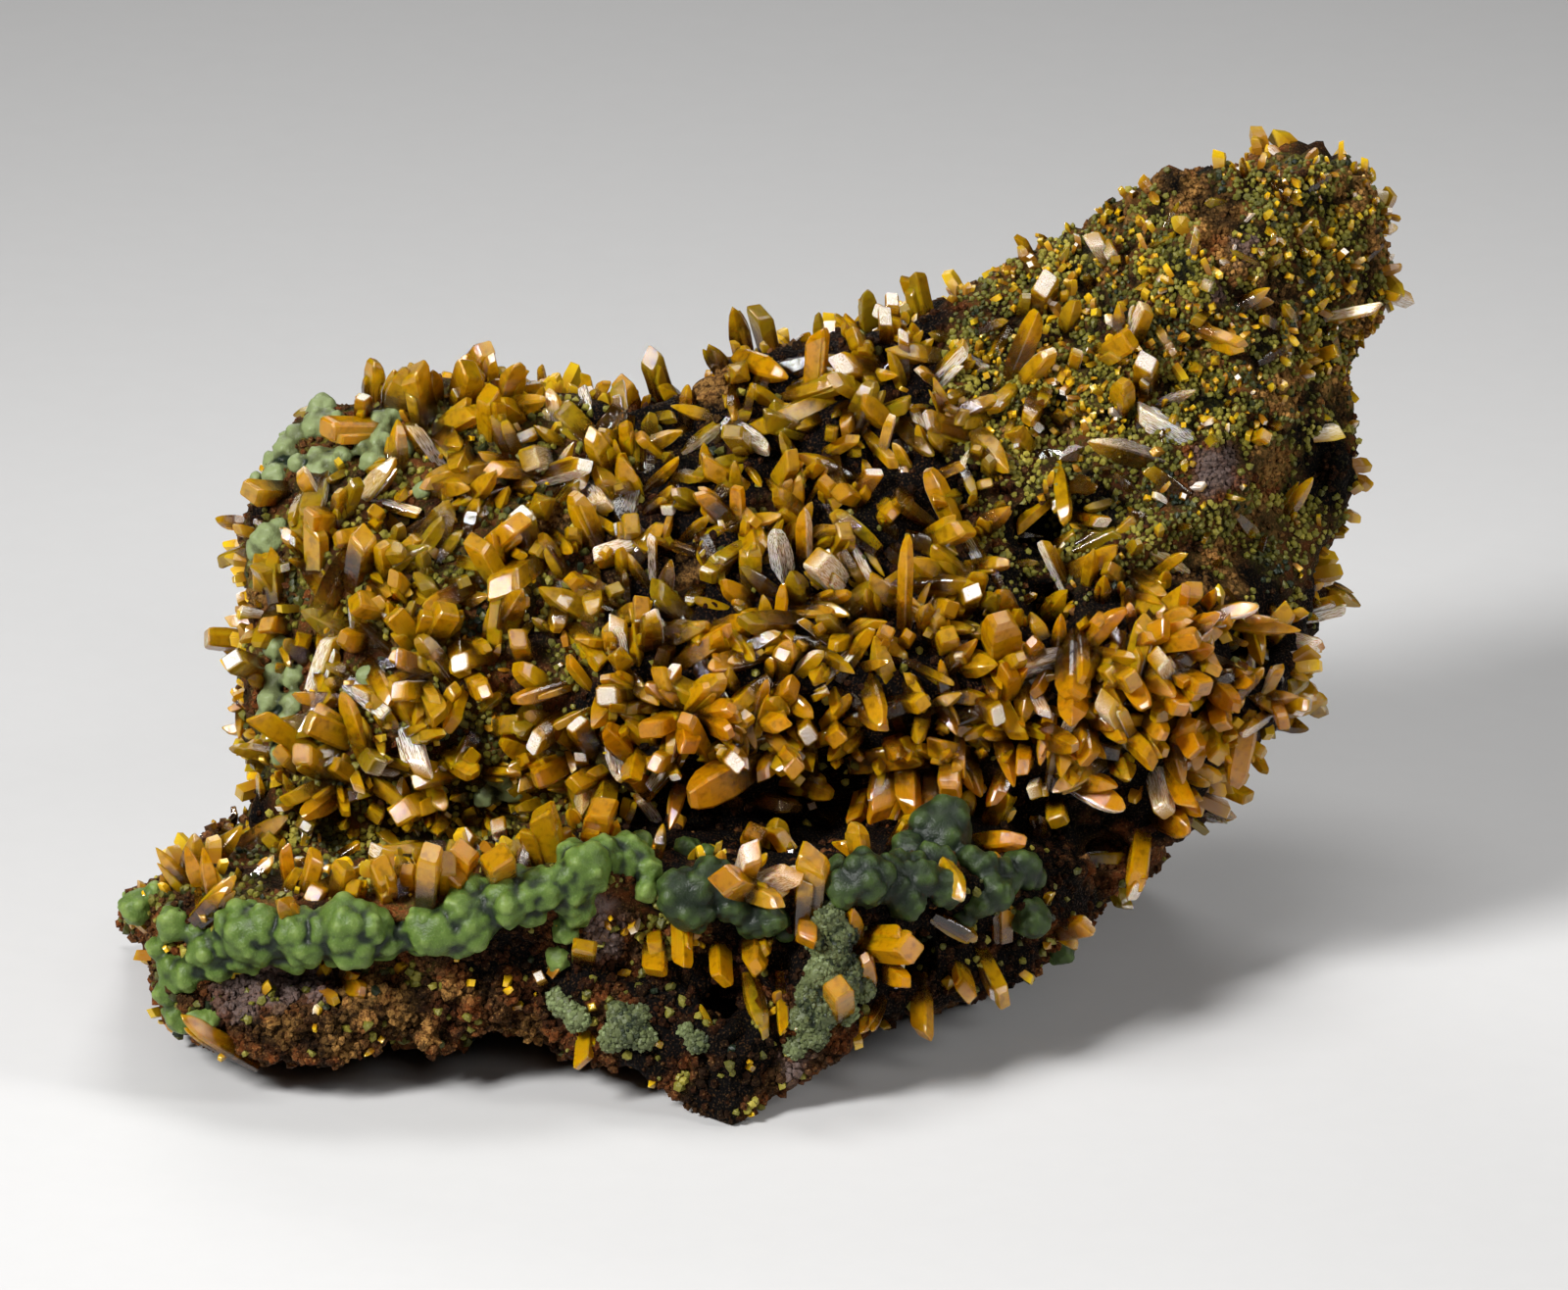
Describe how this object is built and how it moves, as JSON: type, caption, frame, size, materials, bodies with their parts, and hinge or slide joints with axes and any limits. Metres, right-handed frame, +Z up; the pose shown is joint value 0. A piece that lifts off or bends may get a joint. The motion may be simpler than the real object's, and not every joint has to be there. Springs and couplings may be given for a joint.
{
  "type": "wulfenite specimen",
  "caption": "Wulfenite crystals with green beaded mimetite on a ledged limonite matrix; a display mineral specimen that stands on its flat broken base.",
  "frame": {"origin": "middle of the footprint, on the plane the specimen stands on", "axes": "+X to the right along the ledge, +Y away from the viewer, +Z up; the face looks towards -Y and leans back"},
  "size_m": [0.1314, 0.0974, 0.0824],
  "materials": {
    "limonite": "matte rusty brown granular iron oxide with near-black lumps",
    "wulfenite": "gloss translucent orange-yellow crystal with a resinous lustre",
    "mimetite": "satin frosted green botryoidal crust"
  },
  "bodies": {
    "root": {"horn_druse": "wulfenite", "ledge_crystal_01": "wulfenite", "ledge_crystal_02": "wulfenite", "ledge_crystal_03": "wulfenite", "ledge_crystal_04": "wulfenite", "ledge_crystal_05": "wulfenite", "ledge_crystal_06": "wulfenite", "ledge_crystal_07": "wulfenite", "ledge_crystal_08": "wulfenite", "ledge_crystal_09": "wulfenite", "ledge_crystal_10": "wulfenite", "ledge_crystal_11": "wulfenite", "ledge_crystal_12": "wulfenite", "ledge_crystal_13": "wulfenite", "ledge_crystal_14": "wulfenite", "ledge_crystal_15": "wulfenite", "ledge_crystal_16": "wulfenite", "ledge_crystal_17": "wulfenite", "ledge_crystal_18": "wulfenite", "left_face_druse": "wulfenite", "limonite_matrix": "limonite", "main_face_druse": "wulfenite", "mimetite_knob": "mimetite", "mimetite_ridge": "mimetite", "mimetite_rim_left": "mimetite", "mimetite_rim_right": "mimetite", "mimetite_upper_left": "mimetite", "right_face_druse": "wulfenite"}
  },
  "joints": []
}
